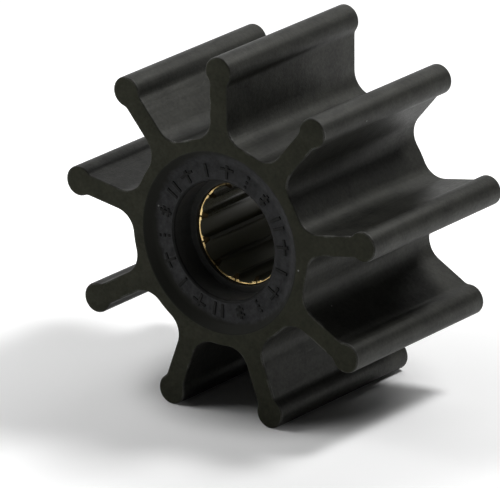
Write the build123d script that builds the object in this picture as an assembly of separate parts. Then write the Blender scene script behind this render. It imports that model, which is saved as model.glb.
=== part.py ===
from build123d import *

import os
from math import radians, tan

# Flexible pump impeller: nine rubber blades moulded onto a brass bush with a splined bore.
# Millimetres. The bore runs along Y, one blade points straight up along +Z, and the two lowest
# blade tips stand on the surface below. The origin is on the bore's axis, half-way along it.
# Both ends are alike.

# Blades and hub
blade_count = 9
first_blade_angle = 90.0
impeller_length = 32.0
tip_diameter = 57.2
hub_diameter = 31.8
blade_thickness = 3.2
bead_diameter = 4.6
root_fillet = 3.5
neck_fillet = 1.5

# Dished recess in each end face
recess_diameter = 27.8
recess_floor_diameter = 24.9
recess_depth = 1.05
recess_corner_fillet = 0.4

# Rubber mouth that leads to the bush, and the lip that covers the rim of the bush
mouth_diameter = 18.3
mouth_draft_angle = 2.0
mouth_edge_chamfer = 0.3
bush_setback = 5.5
lip_thickness = 0.5
lip_diameter = 15.9

# Brass bush
bush_outer_diameter = 21.0
retention_groove_count = 3
retention_groove_width = 2.0
retention_groove_depth = 0.6
retention_groove_pitch = 5.6

# Spline that takes the pump's shaft
tooth_count = 12
first_tooth_angle = 20.0
spline_major_diameter = 15.2
spline_minor_diameter = 13.6
tooth_crest_width = 0.5
tooth_flank_angle = 28.0
tooth_root_fillet = 0.55
entry_diameter = 14.9

# Sizes that follow from those above
half_length = impeller_length / 2
hub_radius = hub_diameter / 2
bead_radius = bead_diameter / 2
bead_centre_radius = tip_diameter / 2 - bead_radius
bush_half_length = half_length - bush_setback
major_radius = spline_major_diameter / 2
minor_radius = spline_minor_diameter / 2

# How far each cutting shape runs past the face that it cuts
past_the_face = 1.0


def radius_of(corner):
    """Distance of a sketch corner from the bore's axis."""
    return corner.center().length


def blade_outline():
    """Cross-section of the hub and its blades, with every root and neck rounded."""
    with BuildSketch(Plane.XZ) as outline:
        with Locations(Location((0, 0, 0), (0, 0, first_blade_angle))):
            Circle(hub_radius)
        with PolarLocations(bead_centre_radius / 2, blade_count, first_blade_angle):
            Rectangle(bead_centre_radius, blade_thickness)
        roots = outline.vertices().filter_by(lambda corner: abs(radius_of(corner) - hub_radius) < 0.01)
        fillet(roots, root_fillet)
        before_beads = outline.vertices()
        with PolarLocations(bead_centre_radius, blade_count, first_blade_angle):
            Circle(bead_radius)
        necks = (outline.vertices() - before_beads).filter_by(
            lambda corner: radius_of(corner) < bead_centre_radius
        )
        fillet(necks, neck_fillet)
    return outline.sketch


def end_cavity():
    """Space at the +Y end: the dished recess, the drafted mouth and the lip's opening."""
    recess_floor = half_length - recess_depth
    lip_front = bush_half_length + lip_thickness
    mouth_taper = (recess_floor - lip_front) * tan(radians(mouth_draft_angle))
    mouth_radius = mouth_diameter / 2
    face_slope = (recess_diameter - recess_floor_diameter) / 2 / recess_depth
    corners = [
        (0, half_length + past_the_face),
        (recess_diameter / 2 + face_slope * past_the_face, half_length + past_the_face),
        (recess_floor_diameter / 2, recess_floor),
        (mouth_radius, recess_floor),
        (mouth_radius - mouth_taper, lip_front),
        (lip_diameter / 2, lip_front),
        (lip_diameter / 2, bush_half_length),
        (0, bush_half_length),
    ]
    with BuildSketch() as section:
        with BuildLine():
            Polyline(*corners, close=True)
        make_face()
        floor_corners = section.vertices().sort_by(lambda v: abs(v.Y - recess_floor))[:2].sort_by(Axis.X)
        fillet(floor_corners[1], recess_corner_fillet)
        mouth_corner = section.vertices().sort_by(
            lambda v: abs(v.Y - recess_floor) + abs(v.X - mouth_radius)
        )[0]
        chamfer(mouth_corner, mouth_edge_chamfer)
    return revolve(section.sketch, Axis.Y)


def bush_blank():
    """Outside of the bush, before its bore, with the grooves that key it into the rubber."""
    blank = Cylinder(bush_outer_diameter / 2, 2 * bush_half_length)
    ring = Cylinder(bush_outer_diameter / 2, retention_groove_width) - Cylinder(
        bush_outer_diameter / 2 - retention_groove_depth, retention_groove_width
    )
    for groove in GridLocations(0, retention_groove_pitch, 1, retention_groove_count):
        blank -= Pos(0, 0, groove.position.Y) * ring
    return Rot(90, 0, 0) * blank


def spline_outline():
    """Cross-section of the opening that the shaft's splines slide into."""
    outer = major_radius + past_the_face
    half_crest = tooth_crest_width / 2
    half_base = half_crest + (outer - minor_radius) * tan(radians(tooth_flank_angle))
    with BuildSketch(Plane.XZ) as outline:
        with Locations(Location((0, 0, 0), (0, 0, first_tooth_angle))):
            Circle(major_radius)
        with PolarLocations(0, tooth_count, first_tooth_angle):
            Polygon(
                (minor_radius, -half_crest),
                (outer, -half_base),
                (outer, half_base),
                (minor_radius, half_crest),
                align=None,
                mode=Mode.SUBTRACT,
            )
        roots = outline.vertices().filter_by(lambda corner: abs(radius_of(corner) - major_radius) < 0.01)
        fillet(roots, tooth_root_fillet)
    return outline.sketch


def entry_cone():
    """Lead-in at the +Y end of the bush, which trims the ends of the teeth."""
    entry_radius = entry_diameter / 2
    depth = entry_radius - minor_radius
    with BuildSketch() as section:
        with BuildLine():
            Polyline(
                (0, bush_half_length - depth),
                (minor_radius, bush_half_length - depth),
                (entry_radius + past_the_face, bush_half_length + past_the_face),
                (0, bush_half_length + past_the_face),
                close=True,
            )
        make_face()
    return revolve(section.sketch, Axis.Y)


def both_ends(shape):
    """The shape at the +Y end and its mirror image at the other."""
    return [shape, mirror(shape, about=Plane.XZ)]


def make_vane_body():
    body = extrude(blade_outline(), impeller_length / 2, both=True)
    body -= both_ends(end_cavity())
    body -= bush_blank()
    return body


def make_splined_bush():
    bush = bush_blank()
    bush -= extrude(spline_outline(), half_length, both=True)
    bush -= both_ends(entry_cone())
    return bush


parts = {
    "rubber_vane_body": make_vane_body(),
    "splined_brass_bush": make_splined_bush(),
}
os.makedirs("parts", exist_ok=True)
for name, solid in parts.items():
    solid.label = name
    export_step(solid, f"parts/{name}.step")
    print(name, "volume", round(solid.volume, 1), "solids", len(solid.solids()))
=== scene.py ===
from math import atan2, cos, degrees, floor, pi, radians, sin, sqrt, tan

import bmesh
import bpy
from mathutils import Matrix, Vector


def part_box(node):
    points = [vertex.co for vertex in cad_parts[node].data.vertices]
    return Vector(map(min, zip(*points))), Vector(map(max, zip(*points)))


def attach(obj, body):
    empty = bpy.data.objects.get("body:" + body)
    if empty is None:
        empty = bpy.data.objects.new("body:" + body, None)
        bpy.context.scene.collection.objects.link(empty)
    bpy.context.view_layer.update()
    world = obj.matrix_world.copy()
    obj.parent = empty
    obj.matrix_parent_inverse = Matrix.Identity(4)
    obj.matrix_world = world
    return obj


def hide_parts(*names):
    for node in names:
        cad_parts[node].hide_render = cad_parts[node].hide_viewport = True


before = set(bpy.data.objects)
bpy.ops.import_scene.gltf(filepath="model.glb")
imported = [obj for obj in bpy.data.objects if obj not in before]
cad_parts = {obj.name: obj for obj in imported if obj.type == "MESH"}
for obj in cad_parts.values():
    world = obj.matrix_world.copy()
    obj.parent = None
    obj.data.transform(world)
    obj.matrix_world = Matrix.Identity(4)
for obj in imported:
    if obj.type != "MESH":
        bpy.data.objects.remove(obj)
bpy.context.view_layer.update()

# Metres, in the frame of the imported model: the bore runs along Y, one blade points straight up.
# Half of each piece is drawn about the Z axis, and then mirrored and turned into that frame.
mm = 0.001
origin = Vector((0, 0, 0))
turning_axis = Vector((0, 0, 1))

# How near corners lie that are merged, and how near a corner lies to its plane or circle
weld_distance = 0.0005 * mm
flatness = 0.001 * mm
closeness = 0.01 * mm

# Whole sizes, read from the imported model
body_low, body_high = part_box("rubber_vane_body")
bush_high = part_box("splined_brass_bush")[1]
half_length = body_high.y
tip_radius = body_high.z
floor_height = body_low.z
bush_half_length = bush_high.y
bush_radius = bush_high.x

# Blades and hub
blade_count = 9
first_blade_angle = 90
hub_radius = 15.9 * mm
stem_half_thickness = 1.6 * mm
bead_radius = 2.3 * mm
bead_centre_radius = tip_radius - bead_radius
root_fillet = 3.5 * mm
neck_fillet = 1.5 * mm
rim_round = 0.22 * mm
end_face_depth = 0.1 * rim_round
hub_steps, root_steps, neck_steps, bead_steps = 3, 12, 6, 16

# End recess, mouth and lip
recess_radius = 13.9 * mm
recess_floor_radius = 12.45 * mm
recess_depth = 1.05 * mm
recess_floor = half_length - recess_depth
recess_edge_round = 0.12 * mm
recess_land = 3 * recess_edge_round
recess_corner_round = 0.5 * mm
mouth_radius = 9.15 * mm
mouth_draft_angle = 2
mouth_edge_round = 0.35 * mm
lip_thickness = 0.5 * mm
lip_radius = 7.95 * mm
turn_steps = 144

# Ring of plain marks moulded on the floor of the recess, in cells of one turn step by one row
mark_start_radius = 9.80 * mm
mark_row_size = 0.42 * mm
mark_row_count = 5
mark_end_radius = mark_start_radius + mark_row_count * mark_row_size
mark_pitch_steps = 8
mark_height = 0.15 * mm
mark_slope = 0.04 * mm
long_bar = {(row, 2) for row in range(mark_row_count)}
cross = long_bar | {(3, column) for column in range(5)}
double_cross = long_bar | {(row, column) for row in (1, 3) for column in range(1, 4)}
side_bars = {(row, column) for row in range(mark_row_count) for column in (0, 3)}
pips = {(row, 2) for row in (0, 2, 4)}
mark_order = (cross, side_bars, double_cross, pips, cross, long_bar)

# Grooves that key the bush into the rubber
groove_width = 2.0 * mm
groove_depth = 0.6 * mm
groove_pitch = 5.6 * mm

# Spline in the bush. A narrow break beside each tooth is painted dark on the bright rim, as painted shade.
tooth_count = 12
first_tooth_angle = 20
spline_major_radius = 7.6 * mm
spline_minor_radius = 6.8 * mm
tooth_crest_half_width = 0.25 * mm
tooth_flank_angle = 28
tooth_root_fillet = 0.55 * mm
spline_steps = 4
bush_edge_round = 0.15 * mm
rim_break_angle = 2
end_facing = 0.3

# Edges between faces that meet at more than this angle stay sharp
sharp_angle = 32

# Places of the finishes in the material slots of the rubber body and of the bush
flank_slot, face_slot, recess_slot, mouth_light_painted_slot, shade_painted_slot = range(5)
machined_slot, blackened_slot, tarnished_slot = range(3)

# Directions that count in a distance from the bore's axis, or from the middle of the floor
across_bore = (1.0, 0.0, 1.0)
across_floor = (1.0, 1.0, 0.0)

# Ranges of noise that are stretched to go from 0 to 1
broad_noise = (0.35, 0.65)
fine_noise = (0.3, 0.7)

# The rubber's gloss has a faint olive cast. It turns grey where dust lies, and along the edges, where wear
# and a painted highlight make it paler
rubber_gloss_tint = (1.0, 1.0, 0.92, 1.0)
worn_and_highlight_edge_colour = (0.24, 0.24, 0.23)
dust_colour = (0.26, 0.26, 0.25)
roughness_swing = 0.05

# The bloom in the recess lies off-centre, so the painted shade round its rim reaches further in at the
# lower left
bloom_and_rim_shade_middle = (0.8 * mm, 0.0, 0.6 * mm)

# The brass has fine lengthwise streaks
brass_streak_depth = 0.01 * mm

# The rim of the bush is painted dark in two places as painted shade, darkest in each core
bush_rim_shade_spots = ((-5.4 * mm, 0.0, -5.3 * mm), (-2.4 * mm, 0.0, 7.2 * mm))
bush_rim_shade_radius, bush_rim_shade_core = 3.4 * mm, 1.6 * mm
bush_rim_shade_share = 0.92

# The bore loses its shine between these heights, by so much added roughness
shine_end, grime_start = 1.0 * mm, -1.5 * mm
grime_roughness = 0.35

# Floor: half its size, and the start radius, end radius and strength of each step by which it
# glows towards white. The first step lightens the object's shadow close round it, as painted light
floor_half_size = 3.0
floor_glow_ramps = (
    (15 * mm, 26 * mm, 0.24),
    (40 * mm, 70 * mm, 0.34),
    (110 * mm, 500 * mm, 0.42),
)

# Lamp powers are given as for this distance, and scaled to where each lamp stands
lamp_reference_distance = 0.8

# White wall low down round the studio, in degrees above the horizon, under a dim ceiling
wall_foot = 6
wall_top = 10
dim_surround = 0.028


def swept(bm, corner, centre, angle, steps):
    """Sweeps the last corner of an outline round a centre, and gives the corner at the arc's end."""
    arc = bmesh.ops.spin(
        bm, geom=[corner], cent=centre, axis=turning_axis, angle=radians(angle), steps=steps
    )
    return [item for item in arc["geom_last"] if isinstance(item, bmesh.types.BMVert)][0]


def drawn(bm, corner, point):
    """Draws a straight line from the last corner of an outline to a point."""
    end = bmesh.ops.extrude_vert_indiv(bm, verts=[corner])["verts"][0]
    end.co = point
    return end


def repeated(bm, copies, first_angle):
    """Mirrors half a repeat across the X axis, and sets copies of it round the turning axis."""
    half = bm.verts[:] + bm.edges[:]
    bmesh.ops.mirror(bm, geom=half, matrix=Matrix(), merge_dist=weld_distance, axis="Y")
    bmesh.ops.spin(
        bm,
        geom=bm.verts[:] + bm.edges[:],
        cent=origin,
        axis=turning_axis,
        angle=2 * pi * (copies - 1) / copies,
        steps=copies - 1,
        use_duplicate=True,
    )
    bmesh.ops.remove_doubles(bm, verts=bm.verts, dist=weld_distance)
    turn = Matrix.Rotation(radians(first_angle), 3, "Z")
    bmesh.ops.rotate(bm, verts=bm.verts, cent=origin, matrix=turn)


def blade_outline(bm):
    """Draws the closed outline of the hub and its blades in the XY plane."""
    root_height = stem_half_thickness + root_fillet
    root_centre = Vector((sqrt((hub_radius + root_fillet) ** 2 - root_height**2), root_height, 0))
    root_angle = degrees(atan2(root_centre.y, root_centre.x))
    neck_height = stem_half_thickness + neck_fillet
    neck_reach = sqrt((bead_radius + neck_fillet) ** 2 - neck_height**2)
    neck_centre = Vector((bead_centre_radius - neck_reach, neck_height, 0))
    neck_angle = degrees(atan2(neck_height, neck_reach))
    half_pitch = 180 / blade_count
    between_blades = Matrix.Rotation(radians(half_pitch), 3, "Z") @ Vector((hub_radius, 0, 0))
    corner = swept(bm, bm.verts.new(between_blades), origin, root_angle - half_pitch, hub_steps)
    corner = swept(bm, corner, root_centre, 90 - root_angle, root_steps)
    corner = drawn(bm, corner, (neck_centre.x, stem_half_thickness, 0))
    corner = swept(bm, corner, neck_centre, 90 - neck_angle, neck_steps)
    swept(bm, corner, (bead_centre_radius, 0, 0), neck_angle - 180, bead_steps)
    repeated(bm, blade_count, first_blade_angle)


def corners_of(edges):
    """Corners that some edges join."""
    return {corner for edge in edges for corner in edge.verts}


def raised(bm, edges, height):
    """Raises a wall from a loop of edges, and gives the edges along its top."""
    made = bmesh.ops.extrude_edge_only(bm, edges=edges)["geom"]
    top = [item for item in made if isinstance(item, bmesh.types.BMEdge)]
    bmesh.ops.translate(bm, verts=list(corners_of(top)), vec=(0, 0, height))
    return top


def turned(bm, section):
    """Turns a section of (radius, height) corners once round the axis."""
    corners = [bm.verts.new((radius, 0, height)) for radius, height in section]
    sides = [bm.edges.new(pair) for pair in zip(corners, corners[1:])]
    bmesh.ops.spin(
        bm,
        geom=corners + sides,
        cent=origin,
        axis=turning_axis,
        angle=2 * pi,
        steps=turn_steps,
        use_merge=True,
    )


def ring_edges(bm, radius, height):
    """Edges that lie on the circle of that radius and height."""

    def on_circle(corner):
        radius_error = abs(corner.co.xy.length - radius)
        return radius_error < closeness and abs(corner.co.z - height) < closeness

    return [edge for edge in bm.edges if all(on_circle(corner) for corner in edge.verts)]


def rounded(bm, edges, size, segments):
    """Rounds edges by that size."""
    bmesh.ops.bevel(
        bm,
        geom=edges,
        offset=size,
        offset_type="OFFSET",
        segments=segments,
        profile=0.5,
        affect="EDGES",
        material=-1,
        clamp_overlap=False,
    )


def open_edges(bm, height):
    """Edges at that height that only one face uses."""
    return [
        edge
        for edge in bm.edges
        if len(edge.link_faces) == 1
        and all(abs(corner.co.z - height) < flatness for corner in edge.verts)
    ]


def capped(bm, height):
    """Fills the flat face between the loops of open edges at that height."""
    bmesh.ops.triangle_fill(
        bm, edges=open_edges(bm, height), use_beauty=True, use_dissolve=False, normal=turning_axis
    )


def mark_cells(bm):
    """Faces of the recess floor that the ring of marks raises."""
    step = 2 * pi / turn_steps
    cells = []
    for face in bm.faces:
        middle = face.calc_center_median()
        row = floor((middle.xy.length - mark_start_radius) / mark_row_size)
        column = int(atan2(middle.y, middle.x) % (2 * pi) / step)
        mark = mark_order[column // mark_pitch_steps % len(mark_order)]
        if abs(middle.z - recess_floor) < flatness and (row, column % mark_pitch_steps) in mark:
            cells.append(face)
    return cells


def cavity_section():
    """Corners of the recess, the drafted mouth and the lip, from the end face in to the bush."""
    lip_front = bush_half_length + lip_thickness
    mouth_taper = (recess_floor - lip_front) * tan(radians(mouth_draft_angle))
    mark_rows = [mark_start_radius + row * mark_row_size for row in range(mark_row_count, -1, -1)]
    return [
        (recess_radius + recess_land, half_length),
        (recess_radius, half_length),
        (recess_floor_radius, recess_floor),
        *[(radius, recess_floor) for radius in mark_rows],
        (mouth_radius, recess_floor),
        (mouth_radius - mouth_taper, lip_front),
        (lip_radius, lip_front),
        (lip_radius, bush_half_length),
    ]


def groove_section():
    """Corners of half the bush's outside, from its end to its middle, with the grooves in it."""
    groove_floor = bush_radius - groove_depth
    corners = [(bush_radius, bush_half_length)]
    for middle in (groove_pitch, 0):
        for radius, height in (
            (bush_radius, middle + groove_width / 2),
            (groove_floor, middle + groove_width / 2),
            (groove_floor, middle - groove_width / 2),
            (bush_radius, middle - groove_width / 2),
        ):
            if height > 0:
                corners.append((radius, height))
    corners.append((groove_floor, 0))
    return corners


def finished(bm, name, materials):
    """Mirrors the half piece to its other end, turns it into the frame, and makes it an object."""
    half = bm.verts[:] + bm.edges[:] + bm.faces[:]
    bmesh.ops.mirror(bm, geom=half, matrix=Matrix(), merge_dist=weld_distance, axis="Z")
    bmesh.ops.remove_doubles(bm, verts=bm.verts, dist=weld_distance)
    bmesh.ops.recalc_face_normals(bm, faces=bm.faces)
    bmesh.ops.rotate(bm, verts=bm.verts, cent=origin, matrix=Matrix.Rotation(pi / 2, 3, "X"))
    mesh = bpy.data.meshes.new(name)
    for face in bm.faces:
        face.smooth = True
    bm.to_mesh(mesh)
    bm.free()
    mesh.set_sharp_from_angle(angle=radians(sharp_angle))
    for material in materials:
        mesh.materials.append(material)
    piece = bpy.data.objects.new(name, mesh)
    bpy.context.scene.collection.objects.link(piece)
    weighted = piece.modifiers.new("weighted_normals", "WEIGHTED_NORMAL")
    weighted.keep_sharp = True
    weighted.weight = 100
    return piece


def rubber_slot(middle):
    """Which finish a face of the rubber body has, by where its middle lies."""
    reach = middle.xy.length
    if reach > recess_radius + recess_edge_round:
        return face_slot if middle.z > half_length - end_face_depth else flank_slot
    if reach > mouth_radius + mouth_edge_round:
        # The tops of the marks are painted dark as painted shade
        on_mark = middle.z - recess_floor > closeness and reach < mark_end_radius
        return shade_painted_slot if on_mark else recess_slot
    # The rounded edge of the mouth is painted dark as painted shade, so it shows no highlight
    if reach > mouth_radius:
        return shade_painted_slot
    # The mouth's wall and lip are painted paler, as painted light in the mouth's shade
    return mouth_light_painted_slot if middle.z > bush_half_length else flank_slot


def make_rubber_body(materials):
    """Hub and blades, one moulding with a dished recess and a drafted mouth in each end."""
    bm = bmesh.new()
    blade_outline(bm)
    top = raised(bm, bm.edges[:], half_length)
    bmesh.ops.edgeloop_fill(bm, edges=top)
    bmesh.ops.recalc_face_normals(bm, faces=bm.faces)
    rounded(bm, top, rim_round, segments=3)

    # The end face is opened again, and is filled once the recess and the mouth are turned
    cap = max(bm.faces, key=lambda face: len(face.verts))
    bmesh.ops.delete(bm, geom=[cap], context="FACES_ONLY")
    turned(bm, cavity_section() + groove_section())
    bmesh.ops.recalc_face_normals(bm, faces=bm.faces)
    rounded(bm, ring_edges(bm, recess_radius, half_length), recess_edge_round, segments=2)
    rounded(bm, ring_edges(bm, recess_floor_radius, recess_floor), recess_corner_round, segments=4)
    rounded(bm, ring_edges(bm, mouth_radius, recess_floor), mouth_edge_round, segments=4)
    bmesh.ops.inset_region(
        bm, faces=mark_cells(bm), thickness=mark_slope, depth=mark_height, use_even_offset=True
    )
    capped(bm, half_length)
    for face in bm.faces:
        face.material_index = rubber_slot(face.calc_center_median())
    return finished(bm, "moulded_rubber_body", materials)


def spline_outline(bm):
    """Draws the closed outline of the splined bore in the XY plane."""
    slope = tan(radians(tooth_flank_angle))
    half_pitch = 180 / tooth_count
    root_middle = Matrix.Rotation(radians(half_pitch), 3, "Z") @ Vector((spline_major_radius, 0, 0))
    along = Vector((1, slope, 0)).normalized()
    outward = Vector((-along.y, along.x, 0))
    crest = Vector((spline_minor_radius, tooth_crest_half_width, 0))

    # The fillet touches the root circle from inside and the tooth's flank, which runs along a line
    line_offset = crest.dot(outward) + tooth_root_fillet
    reach = sqrt((spline_major_radius - tooth_root_fillet) ** 2 - line_offset**2)
    fillet_centre = along * reach + outward * line_offset
    foot = fillet_centre - outward * tooth_root_fillet
    start_angle = degrees(atan2(fillet_centre.y, fillet_centre.x))
    end_angle = degrees(atan2(-outward.y, -outward.x))

    corner = swept(bm, bm.verts.new(root_middle), origin, start_angle - half_pitch, spline_steps)
    corner = swept(bm, corner, fillet_centre, end_angle - start_angle, spline_steps)
    corner.co = foot
    corner = drawn(bm, corner, crest)
    drawn(bm, corner, (spline_minor_radius, 0, 0))
    repeated(bm, tooth_count, first_tooth_angle)


def make_brass_bush(materials):
    """Turned and broached bush, with the ends of its teeth trimmed by a lead-in."""
    bm = bmesh.new()
    spline_outline(bm)

    # The lead-in slopes at 45 degrees, out to a round rim as wide as the roots of the spline
    cut = raised(bm, bm.edges[:], bush_half_length)
    for corner in corners_of(cut):
        corner.co.z -= spline_major_radius - corner.co.xy.length
    rim = raised(bm, cut, 0)
    for corner in corners_of(rim):
        corner.co.xy *= spline_major_radius / corner.co.xy.length
        corner.co.z = bush_half_length
    bmesh.ops.remove_doubles(bm, verts=bm.verts, dist=weld_distance)
    for face in bm.faces:
        face.material_index = blackened_slot

    turned(bm, groove_section())
    end_loops = open_edges(bm, bush_half_length)
    bore_rim = [edge for edge in end_loops if edge.verts[0].co.xy.length < lip_radius]
    capped(bm, bush_half_length)
    bmesh.ops.recalc_face_normals(bm, faces=bm.faces)
    for face in bm.faces:
        if face.normal.z > end_facing:
            face.material_index = tarnished_slot
    rounded(bm, bore_rim, bush_edge_round, segments=3)
    # The rim takes the bright machined finish, except in a narrow break beside each tooth, which keeps a
    # dark finish as painted shade
    for face in bm.faces:
        middle = face.calc_center_median()
        depth = bush_half_length - middle.z
        past_tooth = (degrees(atan2(middle.y, middle.x)) - first_tooth_angle) % (360 / tooth_count)
        on_rim = flatness < depth < bush_edge_round and middle.xy.length < lip_radius
        if on_rim and past_tooth > rim_break_angle:
            face.material_index = machined_slot
    return finished(bm, "brass_bush", materials)


def add_node(tree, kind, inputs=None, **settings):
    """Adds a shader node, with its settings and the values or links of its inputs."""
    node = tree.nodes.new(kind)
    for name, value in settings.items():
        setattr(node, name, value)
    for name, value in (inputs or {}).items():
        if isinstance(value, bpy.types.NodeSocket):
            tree.links.new(value, node.inputs[name])
        else:
            node.inputs[name].default_value = value
    return node


def maths(tree, operation, first, second=0.0, clamp=False):
    """One step of arithmetic on values that vary over the surface."""
    inputs = {0: first, 1: second}
    return add_node(tree, "ShaderNodeMath", inputs, operation=operation, use_clamp=clamp).outputs[0]


def vector_maths(tree, operation, first, second=(0.0, 0.0, 0.0)):
    """One step of arithmetic on places or directions."""
    node = add_node(tree, "ShaderNodeVectorMath", {0: first, 1: second}, operation=operation)
    return node.outputs["Value" if operation in ("LENGTH", "DOT_PRODUCT") else "Vector"]


def distance(tree, place, middle, directions):
    """Distance of a place from a middle, measured in some directions only."""
    away = vector_maths(tree, "SUBTRACT", place, middle)
    return vector_maths(tree, "LENGTH", vector_maths(tree, "MULTIPLY", away, directions))


def spread(tree, value, low, high, new_low=0.0, new_high=1.0, smooth=False):
    """Stretches a range of values to a new range."""
    inputs = {"Value": value, "From Min": low, "From Max": high, "To Min": new_low, "To Max": new_high}
    kind = "SMOOTHSTEP" if smooth else "LINEAR"
    return add_node(tree, "ShaderNodeMapRange", inputs, interpolation_type=kind).outputs["Result"]


def noise(tree, place, scale, detail, roughness=0.5):
    """Cloudy noise of that scale."""
    inputs = {"Vector": place, "Scale": scale, "Detail": detail, "Roughness": roughness}
    return add_node(tree, "ShaderNodeTexNoise", inputs).outputs["Fac"]


def new_group(name, inputs, outputs):
    """Starts a node group with named inputs, a place or numbers, and named number outputs."""
    group = bpy.data.node_groups.new(name, "ShaderNodeTree")
    for label, value in inputs.items():
        kind = "NodeSocketVector" if value is None else "NodeSocketFloat"
        socket = group.interface.new_socket(name=label, in_out="INPUT", socket_type=kind)
        if value is not None:
            socket.default_value = value
    for label in outputs:
        group.interface.new_socket(name=label, in_out="OUTPUT", socket_type="NodeSocketFloat")
    return group, group.nodes.new("NodeGroupInput").outputs, group.nodes.new("NodeGroupOutput").inputs


def edge_wear_and_highlight_group():
    """Mask of the edges and corners, broken up by noise: worn edges, partly a painted highlight along the
    rims.
    """
    inputs = {"Place": None, "Radius": 0.45 * mm, "Grain": 380.0}
    group, given, result = new_group("edge_wear_and_highlight", inputs, ["Mask"])
    flat_agreement, edge_agreement = 0.998, 0.93
    unworn_noise, worn_noise = 0.48, 0.62
    softened = add_node(group, "ShaderNodeBevel", {"Radius": given["Radius"]}, samples=6).outputs[0]
    true_normal = add_node(group, "ShaderNodeNewGeometry").outputs["Normal"]
    agreement = vector_maths(group, "DOT_PRODUCT", softened, true_normal)
    edge = spread(group, agreement, flat_agreement, edge_agreement)
    patchy = noise(group, given["Place"], given["Grain"], 3.0)
    broken = spread(group, patchy, unworn_noise, worn_noise)
    group.links.new(maths(group, "MULTIPLY", edge, broken, clamp=True), result["Mask"])
    return group


def skin_group():
    """Skin of moulded rubber: broad clouds, fine grain, lengthwise flow lines and pores."""
    inputs = {
        "Place": None,
        "Clouds": 260.0,
        "Grain": 1700.0,
        "Flow": 420.0,
        "Flow Stretch": 0.05,
        "Pores": 5200.0,
    }
    group, given, result = new_group("moulded_skin", inputs, ["Clouds", "Grain", "Flow", "Pores"])
    stretch = add_node(group, "ShaderNodeCombineXYZ", {"X": 1.0, "Y": given["Flow Stretch"], "Z": 1.0})
    stretched = vector_maths(group, "MULTIPLY", given["Place"], stretch.outputs[0])
    for label, place, detail, roughness in (
        ("Clouds", given["Place"], 4.0, 0.6),
        ("Grain", given["Place"], 3.0, 0.7),
        ("Flow", stretched, 3.0, 0.5),
        ("Pores", given["Place"], 2.0, 0.6),
    ):
        group.links.new(noise(group, place, given[label], detail, roughness), result[label])
    return group


def dust_group():
    """Mask of a few small pale specks."""
    inputs = {"Place": None, "Scale": 420.0, "Size": 0.06, "Share": 0.07}
    group, given, result = new_group("dust_specks", inputs, ["Mask"])
    places = {"Vector": given["Place"], "Scale": given["Scale"]}
    cells = add_node(group, "ShaderNodeTexVoronoi", places).outputs
    chance = add_node(group, "ShaderNodeSeparateColor", {"Color": cells["Color"]}).outputs["Red"]
    chosen = maths(group, "LESS_THAN", chance, given["Share"])
    near = maths(group, "LESS_THAN", cells["Distance"], given["Size"])
    group.links.new(maths(group, "MULTIPLY", chosen, near), result["Mask"])
    return group


def bloom_and_rim_shade_group():
    """Mask of the pale bloom in the recess. It fades out on the slope into painted shade, which reaches
    further in at the lower left.
    """
    inputs = {"Place": None, "Reach": 12.9 * mm, "Fade": 0.9 * mm, "Grain": 900.0}
    group, given, result = new_group("recess_bloom_and_rim_shade", inputs, ["Mask"])
    away = distance(group, given["Place"], bloom_and_rim_shade_middle, across_bore)
    patchy = noise(group, given["Place"], given["Grain"], 3.0)
    uneven = maths(group, "MULTIPLY", maths(group, "SUBTRACT", patchy, 0.5), given["Fade"])
    inside = maths(group, "ADD", maths(group, "SUBTRACT", given["Reach"], away), uneven)
    share = spread(group, maths(group, "DIVIDE", inside, given["Fade"]), -0.5, 0.5, smooth=True)
    group.links.new(share, result["Mask"])
    return group


def new_material(name):
    """Starts a material, and gives its node tree, its shader and the piece's own coordinates."""
    material = bpy.data.materials.new(name)
    material.use_nodes = True
    tree = material.node_tree
    place = add_node(tree, "ShaderNodeTexCoord").outputs["Object"]
    return material, tree, tree.nodes["Principled BSDF"], place


def mixed(tree, share, first, second):
    """Mixes two colours by a share."""
    node = add_node(tree, "ShaderNodeMix", {"Factor": share}, data_type="RGBA")
    for socket, colour in zip([s for s in node.inputs if s.type == "RGBA"], (first, second)):
        if isinstance(colour, bpy.types.NodeSocket):
            tree.links.new(colour, socket)
        else:
            socket.default_value = (*colour, 1.0)
    return [s for s in node.outputs if s.type == "RGBA"][0]


def bump(tree, height, depth, normal=None):
    """Raises the surface by a depth in metres times the height map."""
    inputs = {"Height": height, "Distance": depth, "Strength": 1.0}
    if normal is not None:
        inputs["Normal"] = normal
    return add_node(tree, "ShaderNodeBump", inputs).outputs["Normal"]


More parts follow.
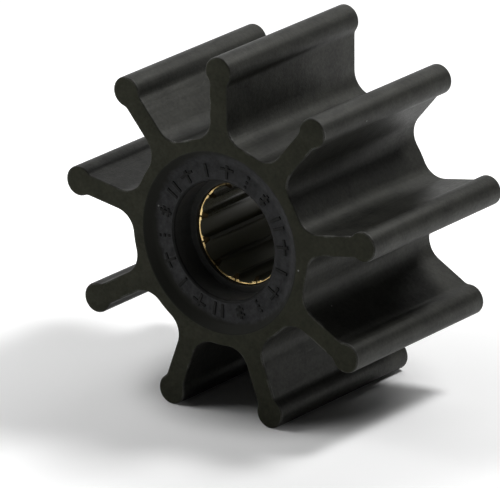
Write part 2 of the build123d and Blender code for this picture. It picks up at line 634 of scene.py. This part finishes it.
def rubber_material(
    name,
    groups,
    dark,
    light,
    roughness,
    gloss,
    clouds,
    grain_share,
    flow_depth,
    pore_depth,
    wear_and_highlight,
    recess_rim_shade_colour=None,
):
    """Black rubber, mottled between two tones, with flow lines, pores and dust, and paler edges that are
    worn and partly a painted highlight.

    The grain is twice as deep as the pores. Where a recess rim shade colour is given, the two tones are a
    bloom, and round the rim the surface is painted that dark colour as painted shade.
    """
    material, tree, shader, place = new_material(name)
    skin = add_node(tree, "ShaderNodeGroup", {"Clouds": clouds}, node_tree=groups["skin"])
    worn_and_highlit_edges = add_node(tree, "ShaderNodeGroup", node_tree=groups["wear_and_highlight"])
    dust = add_node(tree, "ShaderNodeGroup", node_tree=groups["dust"])
    for group_node in (skin, worn_and_highlit_edges, dust):
        tree.links.new(place, group_node.inputs["Place"])
    broad = maths(tree, "MULTIPLY", spread(tree, skin.outputs["Clouds"], *broad_noise), 1 - grain_share)
    fine = maths(tree, "MULTIPLY", spread(tree, skin.outputs["Grain"], *fine_noise), grain_share)
    tone = maths(tree, "ADD", broad, fine)
    colour = mixed(tree, tone, dark, light)
    if recess_rim_shade_colour is not None:
        # Painted shade: round the rim the bloom gives way to the dark rim colour
        bloom_and_rim_shade = add_node(tree, "ShaderNodeGroup", {"Place": place}, node_tree=groups["bloom_and_rim_shade"])
        colour = mixed(tree, bloom_and_rim_shade.outputs["Mask"], recess_rim_shade_colour, colour)
    # Paler edges, worn and partly a painted highlight
    colour = mixed(tree, maths(tree, "MULTIPLY", worn_and_highlit_edges.outputs["Mask"], wear_and_highlight), colour, worn_and_highlight_edge_colour)
    colour = mixed(tree, dust.outputs["Mask"], colour, dust_colour)
    tree.links.new(colour, shader.inputs["Base Color"])
    roughest, smoothest = roughness + roughness_swing, roughness - roughness_swing
    tree.links.new(spread(tree, tone, 0.0, 1.0, roughest, smoothest), shader.inputs["Roughness"])
    normal = bump(tree, skin.outputs["Flow"], flow_depth)
    normal = bump(tree, skin.outputs["Grain"], 2 * pore_depth, normal)
    normal = bump(tree, skin.outputs["Pores"], pore_depth, normal)
    tree.links.new(normal, shader.inputs["Normal"])
    shader.inputs["Specular IOR Level"].default_value = gloss
    shader.inputs["Specular Tint"].default_value = rubber_gloss_tint
    return material


def brass_material(name, groups, dark, light, smooth, rough, metallic, gloss=0.5, bush_rim_shade_colour=None, root_light_colour=None):
    """Brass, streaked between two tones and two degrees of polish.

    A bush rim shade colour paints two spots of the rim dark, as painted shade. A root light colour paints
    the roots of the spline paler, as painted light in their shade, and the lower half of the bore is made
    rougher.
    """
    material, tree, shader, place = new_material(name)
    scales = {"Place": place, "Flow": 1500.0, "Pores": 6000.0}
    skin = add_node(tree, "ShaderNodeGroup", scales, node_tree=groups["skin"])
    colour = mixed(tree, spread(tree, skin.outputs["Flow"], *broad_noise), dark, light)
    finish = spread(tree, skin.outputs["Pores"], *fine_noise, smooth, rough)
    if bush_rim_shade_colour is not None:
        # Painted shade: two spots of the rim are painted dark
        shares = []
        for middle in bush_rim_shade_spots:
            reach = distance(tree, place, middle, across_bore)
            shares.append(spread(tree, reach, bush_rim_shade_radius, bush_rim_shade_core, 0.0, bush_rim_shade_share))
        colour = mixed(tree, maths(tree, "MAXIMUM", *shares), colour, bush_rim_shade_colour)
    # Painted light: the roots of the spline, in the bore's shade, are painted paler
    if root_light_colour is not None:
        reach = distance(tree, place, origin, across_bore)
        root_light_share = spread(tree, reach, spline_minor_radius, spline_major_radius)
        colour = mixed(tree, root_light_share, colour, root_light_colour)
        height = add_node(tree, "ShaderNodeSeparateXYZ", {"Vector": place}).outputs["Z"]
        grime = spread(tree, height, shine_end, grime_start, 0.0, grime_roughness)
        finish = maths(tree, "ADD", finish, grime)
    tree.links.new(colour, shader.inputs["Base Color"])
    tree.links.new(finish, shader.inputs["Roughness"])
    tree.links.new(bump(tree, skin.outputs["Flow"], brass_streak_depth), shader.inputs["Normal"])
    shader.inputs["Metallic"].default_value = metallic
    shader.inputs["Specular IOR Level"].default_value = gloss
    return material


def flank_rubber(groups):
    """Sides of the hub and blades, mottled, with lengthwise flow lines, and paler edges that are worn and
    partly a painted highlight.
    """
    return rubber_material(
        "moulded_flank_rubber",
        groups,
        dark=(0.0004, 0.0004, 0.0003),
        light=(0.0260, 0.0263, 0.0222),
        roughness=0.52,
        gloss=0.30,
        clouds=220.0,
        grain_share=0.55,
        flow_depth=0.120 * mm,
        pore_depth=0.018 * mm,
        wear_and_highlight=0.80,
    )


def face_rubber(groups):
    """Flat end faces, matt and olive black."""
    return rubber_material(
        "ground_face_rubber",
        groups,
        dark=(0.0150, 0.0157, 0.0092),
        light=(0.0340, 0.0353, 0.0222),
        roughness=0.58,
        gloss=0.13,
        clouds=350.0,
        grain_share=0.6,
        flow_depth=0.002 * mm,
        pore_depth=0.008 * mm,
        wear_and_highlight=0.70,
    )


def recess_rubber(groups):
    """Dished recess, with a pale bloom; round its rim the surface is painted dark as painted shade,
    reaching further in at the lower left.
    """
    return rubber_material(
        "bloomed_recess_rubber",
        groups,
        dark=(0.0150, 0.0153, 0.0162),
        light=(0.0480, 0.0487, 0.0512),
        roughness=0.58,
        gloss=0.12,
        clouds=900.0,
        grain_share=0.5,
        flow_depth=0.002 * mm,
        pore_depth=0.006 * mm,
        wear_and_highlight=0.15,
        # Painted shade round the rim of the recess
        recess_rim_shade_colour=(0.0120, 0.0124, 0.0100),
    )


def mouth_light_painted_rubber(groups):
    """Smooth grey wall of the mouth, and the lip at the bush, painted paler than the rest of the rubber as
    painted light in the mouth's shade.
    """
    return rubber_material(
        "smooth_mouth_rubber_light_painted",
        groups,
        dark=(0.0300, 0.0305, 0.0290),
        light=(0.0440, 0.0445, 0.0430),
        roughness=0.52,
        gloss=0.20,
        clouds=700.0,
        grain_share=0.4,
        flow_depth=0.002 * mm,
        pore_depth=0.004 * mm,
        wear_and_highlight=0.10,
    )


def shade_painted_rubber(groups):
    """Painted shade: the tops of the marks and the rounded edge of the mouth, painted dark."""
    return rubber_material(
        "shade_painted_rubber",
        groups,
        dark=(0.0080, 0.0080, 0.0080),
        light=(0.0170, 0.0170, 0.0170),
        roughness=0.50,
        gloss=0.10,
        clouds=1100.0,
        grain_share=0.4,
        flow_depth=0.001 * mm,
        pore_depth=0.003 * mm,
        wear_and_highlight=0.0,
    )


def machined_brass(groups):
    """Rim of the bore and hidden outside of the bush, bright, with painted shade over two places of the
    rim.
    """
    return brass_material(
        "machined_brass",
        groups,
        dark=(0.72, 0.51, 0.21),
        light=(0.92, 0.71, 0.34),
        smooth=0.22,
        rough=0.36,
        metallic=1.0,
        # Painted shade over two spots of the rim
        bush_rim_shade_colour=(0.030, 0.022, 0.011),
    )


def blackened_brass(groups):
    """Splined bore, blackened when the rubber was vulcanised."""
    return brass_material(
        "blackened_brass",
        groups,
        dark=(0.040, 0.039, 0.025),
        light=(0.070, 0.068, 0.045),
        smooth=0.22,
        rough=0.34,
        metallic=0.0,
        gloss=0.28,
        # Painted light in the shaded roots of the spline
        root_light_colour=(0.120, 0.117, 0.082),
    )


def tarnished_brass(groups):
    """End faces and lead-ins of the bush, brown with tarnish."""
    return brass_material(
        "tarnished_brass",
        groups,
        dark=(0.008, 0.006, 0.003),
        light=(0.034, 0.023, 0.010),
        smooth=0.45,
        rough=0.60,
        metallic=1.0,
    )


def seen_rays(tree):
    """1 for rays that show the background: from the camera, in gloss and through glass."""
    rays = add_node(tree, "ShaderNodeLightPath").outputs
    shown = maths(tree, "MAXIMUM", rays["Is Camera Ray"], rays["Is Glossy Ray"])
    return maths(tree, "MAXIMUM", shown, rays["Is Transmission Ray"])


def make_floor():
    """Plain white floor that fades to pure white and keeps the object's shadow, which close round the
    object is lightened by painted light.
    """
    bm = bmesh.new()
    bmesh.ops.create_grid(bm, x_segments=8, y_segments=8, size=floor_half_size)
    bmesh.ops.translate(bm, verts=bm.verts, vec=(0, 0, floor_height))
    mesh = bpy.data.meshes.new("white_floor")
    bm.to_mesh(mesh)
    bm.free()
    white_floor = bpy.data.objects.new("white_floor", mesh)
    bpy.context.scene.collection.objects.link(white_floor)
    material, tree, shader, place = new_material("white_floor")
    shader.inputs["Base Color"].default_value = (0.9, 0.9, 0.9, 1.0)
    shader.inputs["Roughness"].default_value = 0.9
    shader.inputs["Specular IOR Level"].default_value = 0.0
    shader.inputs["Emission Color"].default_value = (1.0, 1.0, 1.0, 1.0)
    reach = distance(tree, place, origin, across_floor)
    whitened = 0.0
    for start, end, glow in floor_glow_ramps:
        whitened = maths(tree, "ADD", spread(tree, reach, start, end, 0.0, glow, smooth=True), whitened)
    glowing = maths(tree, "MULTIPLY", seen_rays(tree), whitened)
    tree.links.new(glowing, shader.inputs["Emission Strength"])
    mesh.materials.append(material)


def soft_lamp(name, azimuth, elevation, power, lamp_distance, size):
    """Square soft lamp that faces the object.

    Azimuth 0 stands in front of the -Y end, and 90 on the +X side.
    """
    level, rise = radians(azimuth), radians(elevation)
    towards = Vector((sin(level) * cos(rise), -cos(level) * cos(rise), sin(rise)))
    light = bpy.data.lights.new(name, "AREA")
    light.shape = "SQUARE"
    light.size = size
    light.energy = power * (lamp_distance / lamp_reference_distance) ** 2
    lamp = bpy.data.objects.new(name, light)
    lamp.location = towards * lamp_distance
    lamp.rotation_mode = "QUATERNION"
    lamp.rotation_quaternion = towards.to_track_quat("Z", "Y")
    bpy.context.scene.collection.objects.link(lamp)


def light_scene():
    """Small key lamp high up on the right of the camera's view, weaker lamps on the left and behind.

    A white wall stands low down round the studio, under a dim ceiling.
    """
    for name, azimuth, elevation, power, lamp_distance, size in (
        ("near_top_key", 135, 57, 4.40, 0.25, 0.055),
        ("near_rear_lamp", 195, 45, 0.97, 0.25, 0.12),
        ("near_left_lamp", 285, 40, 1.60, 0.17, 0.08),
        ("near_front_left_lamp", 305, 38, 1.30, 0.17, 0.08),
        ("low_rear_softbox", 225, 20, 0.46, 0.80, 0.35),
    ):
        soft_lamp(name, azimuth, elevation, power, lamp_distance, size)
    world = bpy.data.worlds.new("studio_surround")
    world.use_nodes = True
    tree = world.node_tree
    background = tree.nodes["Background"]
    background.inputs["Color"].default_value = (1.0, 1.0, 1.0, 1.0)
    direction = add_node(tree, "ShaderNodeTexCoord").outputs["Generated"]
    height = add_node(tree, "ShaderNodeSeparateXYZ", {"Vector": direction}).outputs["Z"]
    white_wall = spread(tree, height, sin(radians(wall_top)), sin(radians(wall_foot)))
    shown = maths(tree, "MULTIPLY", seen_rays(tree), white_wall)
    tree.links.new(maths(tree, "ADD", shown, dim_surround), background.inputs["Strength"])
    bpy.context.scene.world = world


def make_camera():
    """Camera at the viewing angle, with the impeller's origin at its place in the picture."""
    azimuth, elevation, roll = radians(36.603), radians(19.092), radians(-0.362)
    camera_distance = 1.224
    picture_width, picture_height = 500, 488
    pixels_per_metre = 6748.0
    origin_column, origin_row = 283.54, 214.54
    back = Vector((sin(azimuth) * cos(elevation), -cos(azimuth) * cos(elevation), sin(elevation)))
    level = Vector((cos(azimuth), sin(azimuth), 0))
    upright = back.cross(level)
    right = cos(roll) * level + sin(roll) * upright
    up = cos(roll) * upright - sin(roll) * level
    across = (origin_column - picture_width / 2) / pixels_per_metre
    above = (picture_height / 2 - origin_row) / pixels_per_metre
    data = bpy.data.cameras.new("camera")
    data.sensor_width = 36
    data.lens = data.sensor_width * pixels_per_metre * camera_distance / picture_width
    data.clip_start, data.clip_end = 0.05, 20
    camera = bpy.data.objects.new("camera", data)
    place = back * camera_distance - right * across - up * above
    turn = Matrix((right, up, back)).transposed().to_4x4()
    camera.matrix_world = Matrix.Translation(place) @ turn
    bpy.context.scene.collection.objects.link(camera)
    bpy.context.scene.camera = camera


groups = {"skin": skin_group(), "wear_and_highlight": edge_wear_and_highlight_group(), "dust": dust_group(), "bloom_and_rim_shade": bloom_and_rim_shade_group()}

# The finishes stand in the order of the slots
rubbers = (flank_rubber, face_rubber, recess_rubber, mouth_light_painted_rubber, shade_painted_rubber)
rubber_body = make_rubber_body([finish(groups) for finish in rubbers])
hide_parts("rubber_vane_body")
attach(rubber_body, "root")

brasses = (machined_brass, blackened_brass, tarnished_brass)
brass_bush = make_brass_bush([finish(groups) for finish in brasses])
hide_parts("splined_brass_bush")
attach(brass_bush, "root")

make_camera()
make_floor()
light_scene()
bpy.context.scene.view_settings.view_transform = "Standard"
